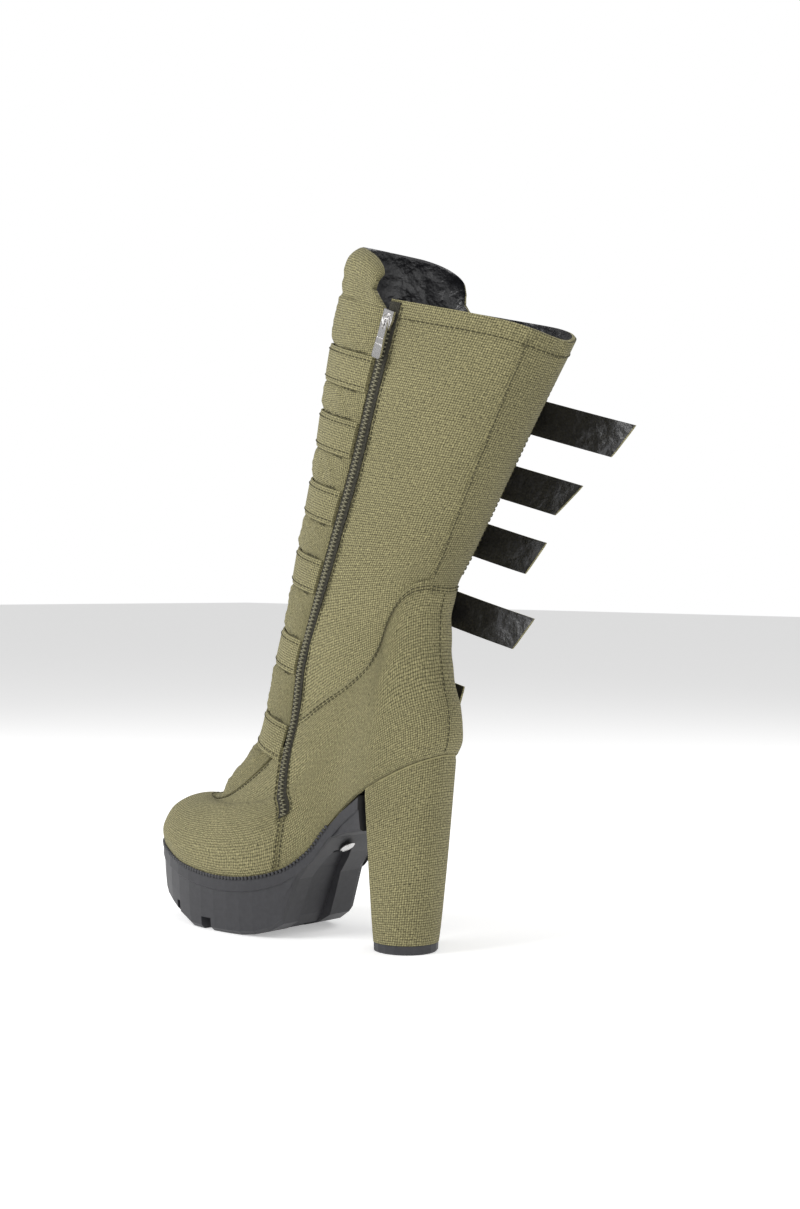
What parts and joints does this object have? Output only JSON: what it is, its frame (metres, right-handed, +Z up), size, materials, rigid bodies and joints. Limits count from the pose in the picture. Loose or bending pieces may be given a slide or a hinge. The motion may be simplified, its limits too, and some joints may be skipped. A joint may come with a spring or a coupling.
{
  "type": "canvas platform boot",
  "caption": "Tall right-foot boot in coarse canvas with a high block heel, a lugged platform, a side zip, a padded front panel and strap tails.",
  "frame": {"origin": "centre of the heel's bottom face", "axes": "+X towards the toe, +Y towards the inner side of the foot, +Z up"},
  "size_m": [0.3547, 0.1006, 0.4478],
  "materials": {
    "canvas": "coarse matt weave",
    "lining": "soft imitation leather",
    "sole_rubber": "moulded, slightly satin",
    "zip_cloth": "woven tape with plastic teeth",
    "steel": "bright nickel"
  },
  "bodies": {
    "boot": {"upper": "canvas", "front_panel": "canvas", "outsole": "sole_rubber", "heel": "canvas", "heel_tip": "sole_rubber", "insole": "lining", "shank_screw": "steel", "zip_tape": "zip_cloth", "zip_slider": "steel", "strap_1": "canvas", "strap_2": "canvas", "strap_3": "canvas", "strap_4": "canvas", "strap_5": "canvas", "strap_6": "canvas"},
    "pull": {"zip_pull": "steel"}
  },
  "joints": [
    {"name": "pull_hinge", "type": "hinge", "parent": "boot", "child": "pull", "pos_m": [-0.02089, 0.05083, 0.39194], "axis": [0.9369, -0.0661, 0.3432], "range_deg": [0, 150]}
  ]
}
